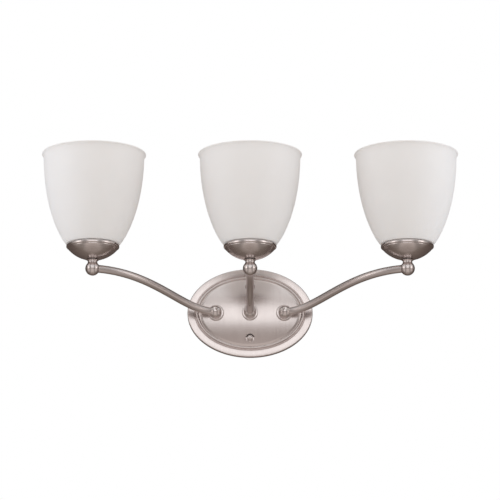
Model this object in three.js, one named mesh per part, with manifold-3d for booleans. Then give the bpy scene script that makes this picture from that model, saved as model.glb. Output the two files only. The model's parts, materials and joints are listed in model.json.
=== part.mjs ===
// Three-light vanity bar with an oval backplate, curved arms and opal glass shades.
// Millimetres, +Z up. The wall is the plane y = 0 and the light reaches out along -Y.
// The origin is the middle of the mounting strap's back face.

import * as THREE from 'three';
import { mergeVertices } from 'three/addons/utils/BufferGeometryUtils.js';
import Module from 'manifold-3d';

// Gaps between touching pieces
const GAP = 0.3;

// Backplate: an oval pressed steel shell with an even border and bead round a shallow dome.
// The border is a little wider at the sides than above and below.
const PLATE_HALF_WIDTH = 86;
const PLATE_HALF_HEIGHT = 61.8;
const PLATE_WALL = 1.2;
const PLATE_BORDER_DEPTH = 6.5;
const PLATE_BORDER = 16;
const SIDE_SPREAD = 1.08;
const DOME_HALF_HEIGHT = PLATE_HALF_HEIGHT - PLATE_BORDER;
const DOME_HALF_WIDTH = PLATE_HALF_WIDTH - SIDE_SPREAD * PLATE_BORDER;
const DOME_EDGE_DEPTH = 8.4;
const DOME_TOP_DEPTH = 13.4;
const DOME_RINGS = 3;
const PLATE_SIDES = 32;

// Mounting strap and its two studs
const STRAP_WIDTH = 22;
const STRAP_LENGTH = 108;
const STRAP_THICK = 2;
const STRAP_SLOT_WIDTH = 4.6;
const STRAP_SLOT_START = 44.4;
const STRAP_SLOT_END = 48.4;
const STUD_SPACING = 73.6;
const STUD_RADIUS = 2.05;
const STUD_END = 15.9;
const NUT_SEAT_DEPTH = 9.3;
const NUT_SEAT_RADIUS = 5.8;
const CAP_NUT_BALL = 4.2;
const GROUND_HEAD_RADIUS = 4.4;
const GROUND_WIRE_RADIUS = 0.6;
const GROUND_SCREW_Z = 20;

// Arms: root spacing on the plate, where each lamp stands, and how far each end of an arm
// pulls its curve
const ROOT_X = 46.8;
const ROOT_Z = -1;
const LAMP_X = 210;
const LAMP_OUT = 130;
const LAMP_Z = 33.5;
const CENTRE_LEAVE = 42;
const CENTRE_ARRIVE = 50;
const SIDE_LEAVE = 46;
const SIDE_LEAVE_OUT = 6;
const SIDE_ARRIVE = 84;
const SIDE_ARRIVE_BACK = 20;
const TUBE_RADIUS = 5.25;
const TUBE_BORE = 4.05;
const TUBE_INSERT = 5.5;
const TUBE_STATIONS = 14;

// Threaded M10 running tube, used at both ends of every arm
const NIPPLE_RADIUS = 4.85;
const NIPPLE_BORE = 3.2;
const NIPPLE_HOLE = 5.15;
const HEX_RADIUS = 8.1;
const HEX_THICK = 2.6;

// Root knuckle, measured from the plate's surface
const KNUCKLE_BALL_RADIUS = 8.8;
const KNUCKLE_BALL_HEIGHT = 8;
const KNUCKLE_FOOT_RADIUS = 11;
const WASHER_RADIUS = 8;
const WASHER_THICK = 0.8;

// Lamp stack, measured up from the middle of the ball under each cup
const BALL_RADIUS = 9.65;
const BALL_FLAT = 7.1;
const NECK_RADIUS = 6.6;
const CUP_SPHERE = 44;
const CUP_SPHERE_Z = 55.6;
const CUP_WALL = 1.2;
const CUP_EDGE_Z = 27.9;
const CUP_BEAD_RADIUS = 1.9;
const CUP_BEAD_AT = new THREE.Vector2(33.5, 29.6);
const SOCKET_BASE_Z = 16.9;
const SOCKET_FLANGE_Z = 21.8;
const SOCKET_FLOOR_Z = 27.5;
const SOCKET_TOP_Z = 59.5;
const SOCKET_RADIUS = 18.3;
const SOCKET_SIDES = 14;
const SOCKET_BORE = 14.4;
const CONTACT_WELL = 2.8;
const CONTACT_WELL_Z = 22.5;
const SHELL_INSIDE = 13.2;
const SHELL_OUTSIDE = 14;
const GLASS_BASE_Z = 25;
const GLASS_WALL = 2.8;
const GLASS_HOLE = 20.8;
const GLASS_TOP_Z = 157.9;

// Insulated 18 AWG fixture leads
const LEAD_RADIUS = 0.9;
const LEAD_OFFSET = 1.1;

const wasm = await Module();
wasm.setup();

function finish(name, colour, roughness, metalness) {
  return new THREE.MeshStandardMaterial({ name, color: colour, roughness, metalness });
}

const brushedNickel = finish('brushed_nickel', '#b5aca6', 0.35, 1);
const opalGlass = finish('opal_glass', '#eceae6', 0.25, 0);
const zincSteel = finish('zinc_steel', '#a9aeb2', 0.45, 1);
const brass = finish('brass', '#c8a65a', 0.35, 1);
const phenolic = finish('phenolic', '#2b2522', 0.5, 0);
const greenScrewPaint = finish('green_screw', '#2f7d4a', 0.4, 0.6);
const copper = finish('bare_copper', '#b87348', 0.35, 1);
const blackPvc = finish('black_lead', '#1b1b1d', 0.5, 0);
const whitePvc = finish('white_lead', '#e6e4de', 0.5, 0);

const light = new THREE.Group();

function addPart(parent, name, geometry, material) {
  const mesh = new THREE.Mesh(geometry, material);
  mesh.name = name;
  parent.add(mesh);
  return mesh;
}

// Turned shape about +Z from [radius, height] pairs listed anticlockwise
function turned(pairs, segments) {
  const points = pairs.map(([radius, height]) => new THREE.Vector2(radius, height));
  return new THREE.LatheGeometry(points, segments).rotateX(Math.PI / 2);
}

// Points of a circular arc in the turning plane, both ends included
function arc(centreRadius, centreHeight, radius, fromAngle, toAngle, steps) {
  const pairs = [];
  for (let i = 0; i <= steps; i += 1) {
    const angle = fromAngle + ((toAngle - fromAngle) * i) / steps;
    pairs.push([centreRadius + radius * Math.cos(angle), centreHeight + radius * Math.sin(angle)]);
  }
  return pairs;
}

function rod(radius, length, sides) {
  return new THREE.CylinderGeometry(radius, radius, length, sides).rotateX(Math.PI / 2);
}

// Closed mesh to solid: merged vertices, with the empty triangles at a pole left out
function solid(geometry) {
  const bare = geometry.clone();
  bare.deleteAttribute('normal');
  bare.deleteAttribute('uv');
  const merged = mergeVertices(bare, 1e-4);
  const kept = [];
  const index = merged.index.array;
  for (let i = 0; i < index.length; i += 3) {
    const [a, b, c] = [index[i], index[i + 1], index[i + 2]];
    if (a !== b && b !== c && c !== a) {
      kept.push(a, b, c);
    }
  }
  const vertProperties = Float32Array.from(merged.attributes.position.array);
  const triVerts = Uint32Array.from(kept);
  return new wasm.Manifold(new wasm.Mesh({ numProp: 3, vertProperties, triVerts }));
}

function meshOf(shape) {
  const result = shape.getMesh();
  const geometry = new THREE.BufferGeometry();
  geometry.setAttribute('position', new THREE.BufferAttribute(result.vertProperties, 3));
  geometry.setIndex(new THREE.BufferAttribute(result.triVerts, 1));
  return geometry;
}

function cutAway(body, tools) {
  return meshOf(tools.reduce((shape, tool) => shape.subtract(solid(tool)), body));
}

// Path whose stations are exactly its control points
class StationPath extends THREE.CatmullRomCurve3 {
  getUtoTmapping(u) {
    return u;
  }
}

// The stretch of a line that is left when a distance is kept from both of its ends
class Stretch extends THREE.Curve {
  constructor(line, kept) {
    super();
    this.line = line;
    this.kept = kept / line.getLength();
  }

  getPoint(t, target = new THREE.Vector3()) {
    return this.line.getPointAt(this.kept + (1 - 2 * this.kept) * t, target);
  }

  getUtoTmapping(u) {
    return u;
  }
}

function tubeAlong(extrudePath, steps, radius, bore, curveSegments) {
  const section = new THREE.Shape().absarc(0, 0, radius, 0, 2 * Math.PI);
  if (bore > 0) {
    section.holes.push(new THREE.Path().absarc(0, 0, bore, 0, 2 * Math.PI));
  }
  return new THREE.ExtrudeGeometry(section, { steps, extrudePath, curveSegments });
}

function wireThrough(points, radius) {
  return tubeAlong(new StationPath(points), points.length - 1, radius, 0, 2);
}

// Boring tool for a tube's end, from a ball's middle outwards
function tubeBore(direction) {
  const up = new THREE.Vector3(0, 0, 1);
  const bore = rod(TUBE_RADIUS + GAP, 20, 12).translate(0, 0, 10);
  return bore.applyQuaternion(new THREE.Quaternion().setFromUnitVectors(up, direction.clone().normalize()));
}

// Depth of the dome's front from the wall, at a share of the dome's half size
function domeDepth(share) {
  return DOME_TOP_DEPTH - (DOME_TOP_DEPTH - DOME_EDGE_DEPTH) * share ** 2;
}

function domePairs(inset) {
  const pairs = [];
  for (let i = 0; i <= DOME_RINGS; i += 1) {
    const share = i / DOME_RINGS;
    pairs.push([DOME_HALF_HEIGHT * share, domeDepth(share) - inset]);
  }
  return pairs;
}

// Makes a plate of round rings oval: each ring keeps its half height and gets its own half width
function widen(geometry) {
  const places = geometry.attributes.position;
  for (let i = 0; i < places.count; i += 1) {
    const halfHeight = Math.hypot(places.getX(i), places.getY(i));
    const inBorder = halfHeight > DOME_HALF_HEIGHT;
    const borderWidth = PLATE_HALF_WIDTH - SIDE_SPREAD * (PLATE_HALF_HEIGHT - halfHeight);
    const ratio = inBorder ? borderWidth / halfHeight : DOME_HALF_WIDTH / DOME_HALF_HEIGHT;
    places.setX(i, places.getX(i) * ratio);
  }
  return geometry;
}

// Oval shell: rim wall, flat border, groove, raised bead and a shallow dome.
// The border's points are distances in from the rim, with depths from the wall.
function backplate() {
  const inside = [[14.6, 6.6], [10.8, 4.6], [2.3, 5.3], [1.3, 4.3], [1.3, 0]];
  const border = [[0, 0], [0, 5.3], [1, PLATE_BORDER_DEPTH], [9.2, PLATE_BORDER_DEPTH]];
  const bead = [[10.2, 5.9], [11.6, 8.2], [12.7, 8.9], [14.2, 8.3], [15, 7.7]];
  const pressed = [...inside, ...border, ...bead].map(([inward, depth]) => {
    return [PLATE_HALF_HEIGHT - inward, depth];
  });
  const shell = turned([...domePairs(PLATE_WALL), ...pressed, ...domePairs(0).reverse()], PLATE_SIDES);
  return widen(shell).rotateX(Math.PI / 2);
}

// A tool along -Y between two depths from the wall
function alongOut(radius, fromDepth, toDepth, x, z, sides) {
  const tool = new THREE.CylinderGeometry(radius, radius, toDepth - fromDepth, sides);
  return tool.translate(x, -(fromDepth + toDepth) / 2, z);
}

function addBackplate() {
  let shape = solid(backplate());
  const tools = [];
  const seatBack = NUT_SEAT_DEPTH - PLATE_WALL;
  for (const z of [-STUD_SPACING / 2, STUD_SPACING / 2]) {
    const seat = alongOut(NUT_SEAT_RADIUS + PLATE_WALL, seatBack, NUT_SEAT_DEPTH + 0.1, 0, z, 16);
    shape = shape.add(solid(seat));
    tools.push(alongOut(NUT_SEAT_RADIUS, NUT_SEAT_DEPTH, DOME_TOP_DEPTH + 2, 0, z, 16));
    tools.push(alongOut(STUD_RADIUS + 0.5, 1, DOME_TOP_DEPTH, 0, z, 12));
  }
  for (const x of [-ROOT_X, 0, ROOT_X]) {
    tools.push(alongOut(NIPPLE_HOLE + 0.2, 3, DOME_TOP_DEPTH + 2, x, ROOT_Z, 14));
  }
  addPart(light, 'backplate', cutAway(shape, tools), brushedNickel);
}

function tappedHole(z) {
  return new THREE.Path().absarc(0, z, STUD_RADIUS + GAP, 0, 2 * Math.PI);
}

// Steel strap that the outlet box's screws hold, standing upright behind the plate
function addStrap() {
  const outline = new THREE.Shape();
  const halfWidth = STRAP_WIDTH / 2;
  const halfLength = STRAP_LENGTH / 2;
  outline.moveTo(-halfWidth, -halfLength);
  outline.lineTo(halfWidth, -halfLength);
  outline.lineTo(halfWidth, halfLength);
  outline.lineTo(-halfWidth, halfLength);
  outline.closePath();
  const slotHalf = STRAP_SLOT_WIDTH / 2;
  for (const side of [-1, 1]) {
    const low = Math.min(side * STRAP_SLOT_START, side * STRAP_SLOT_END);
    const high = Math.max(side * STRAP_SLOT_START, side * STRAP_SLOT_END);
    const slot = new THREE.Path();
    slot.absarc(0, high, slotHalf, 0, Math.PI);
    slot.absarc(0, low, slotHalf, Math.PI, 2 * Math.PI);
    slot.closePath();
    outline.holes.push(slot, tappedHole((side * STUD_SPACING) / 2));
  }
  outline.holes.push(tappedHole(GROUND_SCREW_Z));
  const pressing = { depth: STRAP_THICK, bevelEnabled: false, curveSegments: 5 };
  const strap = new THREE.ExtrudeGeometry(outline, pressing);
  addPart(light, 'mounting_strap', strap.rotateX(Math.PI / 2), zincSteel);
}

// Pieces turned about -Y: local height 0 is the wall
function outward(geometry, x, z) {
  return geometry.rotateX(Math.PI / 2).translate(x, 0, z);
}

function addStuds() {
  const nutBase = NUT_SEAT_DEPTH + GAP;
  const ballHeight = nutBase + 5.2;
  const bore = STUD_RADIUS + GAP;
  const studEnd = STUD_END - 0.4;
  const capNut = [[0, STUD_END + 0.5], [bore, STUD_END], [bore, nutBase], [5, nutBase]];
  capNut.push([5, nutBase + 1.2], [3.4, nutBase + 2]);
  capNut.push(...arc(0, ballHeight, CAP_NUT_BALL, -0.6, Math.PI / 2, 4));
  for (const [place, side] of [['upper', 1], ['lower', -1]]) {
    const z = (side * STUD_SPACING) / 2;
    const stud = turned([[0, GAP], [STUD_RADIUS, GAP], [STUD_RADIUS, studEnd], [0, studEnd]], 10);
    addPart(light, `stud_${place}`, outward(stud, 0, z), zincSteel);
    addPart(light, `cap_nut_${place}`, outward(turned(capNut, 12), 0, z), brushedNickel);
  }
}

function addGround() {
  const seat = STRAP_THICK + 1.6;
  const top = seat + 2.2;
  const screw = [[0, GAP], [STUD_RADIUS, GAP], [STUD_RADIUS, seat], [GROUND_HEAD_RADIUS, seat]];
  screw.push([GROUND_HEAD_RADIUS, seat + 1.4], [GROUND_HEAD_RADIUS - 1, top], [0, top]);
  addPart(light, 'ground_screw', outward(turned(screw, 12), 0, GROUND_SCREW_Z), greenScrewPaint);
  const hook = [];
  const hookRadius = 3.1;
  const wireOut = STRAP_THICK + GROUND_WIRE_RADIUS + 0.35;
  for (let i = 0; i <= 8; i += 1) {
    const angle = -Math.PI * 0.9 + (Math.PI * 1.4 * i) / 8;
    const z = GROUND_SCREW_Z + hookRadius * Math.sin(angle);
    hook.push(new THREE.Vector3(hookRadius * Math.cos(angle), -wireOut, z));
  }
  hook.push(new THREE.Vector3(-6.5, -wireOut, GROUND_SCREW_Z + 4));
  hook.push(new THREE.Vector3(-9, -3.4, GROUND_SCREW_Z + 9));
  hook.push(new THREE.Vector3(-9.5, -4.2, GROUND_SCREW_Z + 14));
  hook.push(new THREE.Vector3(-8.5, -4.6, GROUND_SCREW_Z + 20));
  addPart(light, 'ground_wire', wireThrough(hook, GROUND_WIRE_RADIUS), copper);
}

// Where an arm starts: its foot on the plate, the tilt of its axis, and the ball's middle
function armRoot(side) {
  const share = ROOT_X / DOME_HALF_WIDTH;
  const slope = (2 * (DOME_TOP_DEPTH - DOME_EDGE_DEPTH) * share) / DOME_HALF_WIDTH;
  const tilt = side * Math.atan(slope);
  const depth = side === 0 ? domeDepth(ROOT_Z / DOME_HALF_HEIGHT) : domeDepth(share);
  const foot = new THREE.Vector3(side * ROOT_X, -depth, ROOT_Z);
  const out = new THREE.Vector3(Math.sin(tilt), -Math.cos(tilt), 0);
  const ball = foot.clone().addScaledVector(out, KNUCKLE_BALL_HEIGHT);
  return { tilt, foot, out, ball };
}

// Centre line of an arm, from the knuckle's middle to the middle of the ball under the cup
function armLine(side) {
  const start = armRoot(side).ball;
  const end = new THREE.Vector3(side * LAMP_X, -LAMP_OUT, LAMP_Z);
  const leave = new THREE.Vector3(side * SIDE_LEAVE, -SIDE_LEAVE_OUT, 0);
  const arrive = new THREE.Vector3(-side * SIDE_ARRIVE, SIDE_ARRIVE_BACK, 0);
  if (side === 0) {
    leave.set(0, -CENTRE_LEAVE, 0);
    arrive.set(0, CENTRE_ARRIVE, 0);
  }
  return new THREE.CubicBezierCurve3(start, start.clone().add(leave), end.clone().add(arrive), end);
}

// Directions in which the tube leaves the knuckle and the ball under the cup
function tubeDirections(side) {
  const line = armLine(side);
  const inside = KNUCKLE_BALL_RADIUS / line.getLength();
  const leave = line.getPointAt(inside).sub(line.getPointAt(0));
  const arrive = line.getPointAt(1 - inside).sub(line.getPointAt(1));
  return { leave, arrive };
}

function hexNut(fromHeight) {
  const outline = new THREE.Shape().absarc(0, 0, HEX_RADIUS, 0, 2 * Math.PI);
  const hexagon = new THREE.Shape(outline.getPoints(3).slice(0, 6));
  hexagon.holes.push(new THREE.Path().absarc(0, 0, NIPPLE_HOLE, 0, 2 * Math.PI));
  const pressing = { depth: HEX_THICK, bevelEnabled: false, curveSegments: 8 };
  return new THREE.ExtrudeGeometry(hexagon, pressing).translate(0, 0, fromHeight);
}

function nipple(low, high) {
  const inner = NIPPLE_BORE;
  const outer = NIPPLE_RADIUS;
  return turned([[inner, low], [outer, low], [outer, high], [inner, high], [inner, low]], 10);
}

// Turned foot and ball, bored from the plate and from where the tube enters
function knuckle(leave) {
  const foot = [[0, 11.5], [NIPPLE_HOLE, 9.5], [NIPPLE_HOLE, GAP], [KNUCKLE_FOOT_RADIUS, GAP]];
  foot.push([KNUCKLE_FOOT_RADIUS, 1.9], [10.2, 2.6], [7.5, 2.8]);
  const ball = arc(0, KNUCKLE_BALL_HEIGHT, KNUCKLE_BALL_RADIUS, -0.58, Math.PI / 2, 5);
  const bore = tubeBore(leave).translate(0, 0, KNUCKLE_BALL_HEIGHT);
  return cutAway(solid(turned([...foot, ...ball], 16)), [bore]);
}

function washer(low, high) {
  const inner = NIPPLE_HOLE;
  const outer = WASHER_RADIUS;
  return turned([[inner, low], [outer, low], [outer, high], [inner, high], [inner, low]], 12);
}

function addArmRoot(side, place) {
  const { tilt, foot } = armRoot(side);
  const root = new THREE.Group();
  root.position.copy(foot);
  root.rotation.set(Math.PI / 2, 0, tilt, 'ZXY');
  light.add(root);
  const leave = tubeDirections(side).leave.applyQuaternion(root.quaternion.clone().invert());
  addPart(root, `arm_knuckle_${place}`, knuckle(leave), brushedNickel);
  addPart(root, `root_nipple_${place}`, nipple(-6.4, 6.6), zincSteel);
  const washerTop = -PLATE_WALL - 0.5;
  const washerLow = washerTop - WASHER_THICK;
  addPart(root, `root_washer_${place}`, washer(washerLow, washerTop), zincSteel);
  addPart(root, `root_nut_${place}`, hexNut(washerLow - GAP - HEX_THICK), zincSteel);
}

function addArmTube(side, place) {
  const path = new Stretch(armLine(side), TUBE_INSERT);
  const tube = tubeAlong(path, TUBE_STATIONS, TUBE_RADIUS, TUBE_BORE, 4);
  addPart(light, `arm_tube_${place}`, tube, brushedNickel);
}

// Ball under the cup, flat on top, bored from above and from the arm's side
function armBall(side) {
  const flatAngle = Math.asin(BALL_FLAT / BALL_RADIUS);
  const outside = arc(0, 0, BALL_RADIUS, -Math.PI / 2, flatAngle, 6);
  const pairs = [...outside, [NIPPLE_HOLE, BALL_FLAT], [NIPPLE_HOLE, -1.5], [0, -4.5]];
  return cutAway(solid(turned(pairs, 16)), [tubeBore(tubeDirections(side).arrive)]);
}

function neck() {
  const low = BALL_FLAT + GAP;
  const high = CUP_SPHERE_Z - CUP_SPHERE - GAP;
  const flare = 8.2;
  const pairs = [[NIPPLE_HOLE, low], [NECK_RADIUS, low], [NECK_RADIUS - 0.3, low + 1.2]];
  pairs.push([NECK_RADIUS, high - 1.2], [flare, high - 0.4], [flare, high], [NIPPLE_HOLE, high]);
  return turned([...pairs, pairs[0]], 14);
}

// Height of a sphere's underside at a radius
function sphereUnder(radius, sphere) {
  return CUP_SPHERE_Z - Math.sqrt(sphere ** 2 - radius ** 2);
}

// Spun bowl with a rolled bead round its edge
function cup() {
  const inner = CUP_SPHERE - CUP_WALL;
  const rise = CUP_SPHERE_Z - CUP_EDGE_Z;
  const angleOf = (sphere, radius) => -Math.acos(radius / sphere);
  const edgeAngle = -Math.asin(rise / CUP_SPHERE);
  const innerEdge = -Math.asin(rise / inner);
  const outside = arc(0, CUP_SPHERE_Z, CUP_SPHERE, angleOf(CUP_SPHERE, NIPPLE_HOLE), edgeAngle, 4);
  const bead = arc(CUP_BEAD_AT.x, CUP_BEAD_AT.y, CUP_BEAD_RADIUS, -0.5, Math.PI + 0.5, 5);
  const inside = arc(0, CUP_SPHERE_Z, inner, innerEdge, angleOf(inner, NIPPLE_HOLE), 4);
  const start = [NIPPLE_HOLE, sphereUnder(NIPPLE_HOLE, CUP_SPHERE)];
  return turned([...outside, ...bead, ...inside, start], 22);
}

function socketBody() {
  const pairs = [[0, 20.5], [NIPPLE_HOLE, 20.5], [NIPPLE_HOLE, SOCKET_BASE_Z], [16.6, SOCKET_BASE_Z]];
  pairs.push([16.6, SOCKET_FLANGE_Z], [24.5, SOCKET_FLANGE_Z], [24.5, GLASS_BASE_Z - GAP]);
  pairs.push([SOCKET_RADIUS, GLASS_BASE_Z - GAP], [SOCKET_RADIUS, SOCKET_TOP_Z]);
  pairs.push([SOCKET_BORE, SOCKET_TOP_Z], [SOCKET_BORE, SOCKET_FLOOR_Z], [CONTACT_WELL, SOCKET_FLOOR_Z]);
  pairs.push([CONTACT_WELL, CONTACT_WELL_Z], [0, CONTACT_WELL_Z]);
  return turned(pairs, SOCKET_SIDES);
}

function screwShell() {
  const base = SOCKET_FLOOR_Z + GAP;
  const floor = base + 1;
  const top = SOCKET_TOP_Z - 3;
  const pairs = [[SHELL_INSIDE, top], [SHELL_INSIDE, floor], [7, floor], [7, base]];
  pairs.push([SHELL_OUTSIDE, base], [SHELL_OUTSIDE, top], [SHELL_INSIDE, top]);
  return turned(pairs, SOCKET_SIDES);
}

function centreContact() {
  const stem = 25.3;
  const head = 29.5;
  const pairs = [[0, stem], [2.5, stem], [2.5, head], [4, head], [4, head + 1.5]];
  return turned([...pairs, [3, head + 2], [0, head + 2]], 10);
}

// Clamps the glass down. Its flat-sided bore clears the socket's corners as it turns.
function shadeRing() {
  const base = GLASS_BASE_Z + GLASS_WALL + GAP;
  const bore = (SOCKET_RADIUS + GAP) / Math.cos(Math.PI / SOCKET_SIDES);
  const pairs = [[bore, base], [24.2, base], [24.2, base + 2.4], [21.4, base + 3.2], [21.4, base + 8]];
  pairs.push([bore, base + 8], [bore, base]);
  return turned(pairs, SOCKET_SIDES);
}

// Opal goblet: a curved wall of even thickness, a rolled-in foot and a small flared lip
function glassShade() {
  const wall = new THREE.CubicBezierCurve(
    new THREE.Vector2(35.2, 32.6),
    new THREE.Vector2(37, 32.4),
    new THREE.Vector2(66.3, 71.6),
    new THREE.Vector2(67.6, 152.5),
  );
  const outside = [];
  const inside = [];
  const steps = 6;
  for (let i = 0; i <= steps; i += 1) {
    const point = wall.getPoint(i / steps);
    const along = wall.getTangent(i / steps);
    outside.push([point.x, point.y]);
    if (i > 0) {
      inside.unshift([point.x - GLASS_WALL * along.y, point.y + GLASS_WALL * along.x]);
    }
  }
  const foot = [[GLASS_HOLE, GLASS_BASE_Z], [26.5, GLASS_BASE_Z], [29.4, 26.8], [31, 31.4]];
  const lip = [[70, 156.4], [70, GLASS_TOP_Z], [67.4, GLASS_TOP_Z]];
  const floor = [[27, 29.4], [25.2, GLASS_BASE_Z + GLASS_WALL], [GLASS_HOLE, GLASS_BASE_Z + GLASS_WALL]];
  return turned([...foot, ...outside, ...lip, ...inside, ...floor, [GLASS_HOLE, GLASS_BASE_Z]], 22);
}

function addLamp(side, place) {
  const lamp = new THREE.Group();
  lamp.position.set(side * LAMP_X, -LAMP_OUT, LAMP_Z);
  light.add(lamp);
  addPart(lamp, `arm_ball_${place}`, armBall(side), brushedNickel);
  addPart(lamp, `neck_${place}`, neck(), brushedNickel);
  addPart(lamp, `stem_nipple_${place}`, nipple(5, 19.8), zincSteel);
  addPart(lamp, `shade_cup_${place}`, cup(), brushedNickel);
  addPart(lamp, `cup_nut_${place}`, hexNut(14), zincSteel);
  addPart(lamp, `socket_${place}`, socketBody(), phenolic);
  addPart(lamp, `screw_shell_${place}`, screwShell(), brass);
  addPart(lamp, `centre_contact_${place}`, centreContact(), brass);
  addPart(lamp, `shade_ring_${place}`, shadeRing(), phenolic);
  addPart(lamp, `glass_shade_${place}`, glassShade(), opalGlass);
}

// Route of a pair of leads: tail behind the plate, through the root, the arm and the stem
function leadRoute(side) {
  const { foot, out, ball } = armRoot(side);
  const along = (distance) => foot.clone().addScaledVector(out, distance);
  const exit = along(-6.9);
  const sideways = side === 0 ? new THREE.Vector3(0, 0, -1) : new THREE.Vector3(-side, 0, 0);
  const behind = (run, back) => {
    return exit.clone().addScaledVector(sideways, run).add(new THREE.Vector3(0, back, 0));
  };
  const inRoot = [behind(25, 1.6), behind(9, 1.6), behind(2.1, 1.1), exit, along(-3), along(1), along(4)];
  const inArm = new Stretch(armLine(side), TUBE_INSERT).getSpacedPoints(9);
  const lampCentre = new THREE.Vector3(side * LAMP_X, -LAMP_OUT, LAMP_Z);
  const inStem = [5, 9, 14, 19.6].map((height) => lampCentre.clone().add(new THREE.Vector3(0, 0, height)));
  const corner = (middle, before, after) => middle.clone().lerp(before.clone().lerp(after, 0.5), 0.5);
  const rootCorner = corner(ball, inRoot.at(-1), inArm[0]);
  const stemCorner = corner(lampCentre, inStem[0], inArm.at(-1));
  return [...inRoot, rootCorner, ...inArm, stemCorner, ...inStem];
}

// One lead of a pair, beside the route. A stacked pair starts one above the other and turns a quarter.
function leadBeside(route, hand, stacked) {
  const up = new THREE.Vector3(0, 0, 1);
  let level = new THREE.Vector3(-1, 0, 0);
  return route.map((point, i) => {
    const before = route[Math.max(i - 1, 0)];
    const after = route[Math.min(i + 1, route.length - 1)];
    const heading = after.clone().sub(before).normalize();
    if (Math.abs(heading.z) < 0.6) {
      level = heading.clone().cross(up).normalize();
    }
    const share = stacked ? THREE.MathUtils.smoothstep(i, 8, route.length - 8) : 1;
    const turn = share * (Math.PI / 2);
    const offset = up.clone().multiplyScalar(Math.cos(turn)).addScaledVector(level, Math.sin(turn));
    return point.clone().addScaledVector(offset, hand * LEAD_OFFSET);
  });
}

function addLeads(side, place) {
  const route = leadRoute(side);
  const stacked = side !== 0;
  addPart(light, `lead_black_${place}`, wireThrough(leadBeside(route, 1, stacked), LEAD_RADIUS), blackPvc);
  addPart(light, `lead_white_${place}`, wireThrough(leadBeside(route, -1, stacked), LEAD_RADIUS), whitePvc);
}

addBackplate();
addStrap();
addStuds();
addGround();
for (const [place, side] of [['left', -1], ['centre', 0], ['right', 1]]) {
  addArmRoot(side, place);
  addArmTube(side, place);
  addLamp(side, place);
  addLeads(side, place);
}

export default light;
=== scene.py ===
"""Three-light vanity bar: fine surfaces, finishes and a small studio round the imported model.

Lengths named below are millimetres until a piece is finished, and metres from then on.
"""

import json
import math

import bmesh
import bpy
from mathutils import Matrix, Vector
from mathutils.geometry import interpolate_bezier


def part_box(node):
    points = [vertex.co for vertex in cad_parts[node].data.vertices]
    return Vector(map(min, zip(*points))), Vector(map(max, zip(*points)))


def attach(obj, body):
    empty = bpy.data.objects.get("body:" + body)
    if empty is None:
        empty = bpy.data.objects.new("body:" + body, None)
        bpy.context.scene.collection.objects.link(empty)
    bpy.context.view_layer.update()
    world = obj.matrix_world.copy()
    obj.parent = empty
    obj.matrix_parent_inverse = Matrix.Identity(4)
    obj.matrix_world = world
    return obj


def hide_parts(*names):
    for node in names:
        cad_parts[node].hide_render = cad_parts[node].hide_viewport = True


bl_info = {
    "name": "Vanity Light Bar",
    "version": (1, 0, 0),
    "blender": (4, 5, 0),
    "location": "3D View > Sidebar > Vanity Light",
    "description": "Builds the fine surfaces of a three-light vanity bar round its packed model",
    "category": "Object",
}

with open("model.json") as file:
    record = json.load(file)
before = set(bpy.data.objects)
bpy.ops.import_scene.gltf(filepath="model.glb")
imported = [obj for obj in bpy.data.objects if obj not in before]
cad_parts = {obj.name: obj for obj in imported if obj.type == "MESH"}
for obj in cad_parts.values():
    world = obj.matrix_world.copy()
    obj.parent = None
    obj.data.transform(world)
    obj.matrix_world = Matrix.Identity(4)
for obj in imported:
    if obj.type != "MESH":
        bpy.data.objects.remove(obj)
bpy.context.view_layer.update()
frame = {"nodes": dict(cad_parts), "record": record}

MM = 0.001
SIDES = {"left": -1, "centre": 0, "right": 1}
FULL_TURN = 2 * math.pi
QUARTER_TURN = math.pi / 2

# Turning steps round a piece
PLATE_STEPS = 144
LAMP_STEPS = 96
SMALL_STEPS = 48
CORNER_STEPS = 4
SMOOTH_BELOW = math.radians(32)

# Backplate: an even border and bead round a shallow dome, the border a little wider at the sides
BORDER_DEPTH = 6.5
BORDER = 16
SIDE_SPREAD = 1.08
PLATE_WALL = 1.2
DOME_EDGE_DEPTH = 8.4
DOME_TOP_DEPTH = 13.4
DOME_RINGS = 20
NUT_SEAT_DEPTH = 9.3
NUT_SEAT_RADIUS = 5.8
PLATE_MAP = "plate_face"

# Studs, their cap nuts and the ground screw
STUD_HEIGHTS = (-36.8, 36.8)
STUD_RADIUS = 2.05
STUD_TIP = 15.5
CAP_NUT_BORE = 2.35
CAP_NUT_ROOM = 0.3
GROUND_SCREW_Z = 20

# Arms
ROOT_X = 46.8
ROOT_Z = -1
KNUCKLE_BALL_HEIGHT = 8
KNUCKLE_BALL_RADIUS = 8.8
TUBE_INSERT = 5.5
TUBE_STATIONS = 72
TUBE_LINE_STEPS = 8 * TUBE_STATIONS
TUBE_SIDES = 40
TUBE_PLACE = "tube_place"
SIDE_LEAVE = Vector((46, -6, 0))
SIDE_ARRIVE = Vector((-84, 20, 0))
CENTRE_LEAVE = Vector((0, -42, 0))
CENTRE_ARRIVE = Vector((0, 50, 0))

# Lamp stack, up from the middle of the ball under each cup
BALL_FLAT = 7.1
CUP_SPHERE = 44
CUP_SPHERE_Z = 55.6
CUP_WALL = 1.2
CUP_EDGE_Z = 27.1
STACK_GAP = 0.1
GLASS_BASE = 25
GLASS_TOP = 157.9
SOCKET_FLOOR = 27.5
SOCKET_TOP = 59.5
SHELL_RADIUS = 13.25
SHELL_WAVE = 0.35
SHELL_WALL = 0.4
SHELL_PITCH = 3.63
SHELL_STEPS = 56

# Running tubes with their nuts and washers, where a pair is (low, high) along the tube
NIPPLE_RADIUS = 4.85
NIPPLE_PITCH = 1
NIPPLE_THREAD_DEPTH = 0.45
NIPPLE_HOLE = 3.2
NIPPLE_BORE = 5.15
ROOT_NIPPLE = (-6.4, 1.9)
ROOT_NUT = (-5.4, -2.8)
ROOT_WASHER = (-2.5, -1.7)
STEM_NIPPLE = (5, 19.8)
CUP_NUT = (14, 16.6)
NUT_CORNER_RADIUS = 8.0595

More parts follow.
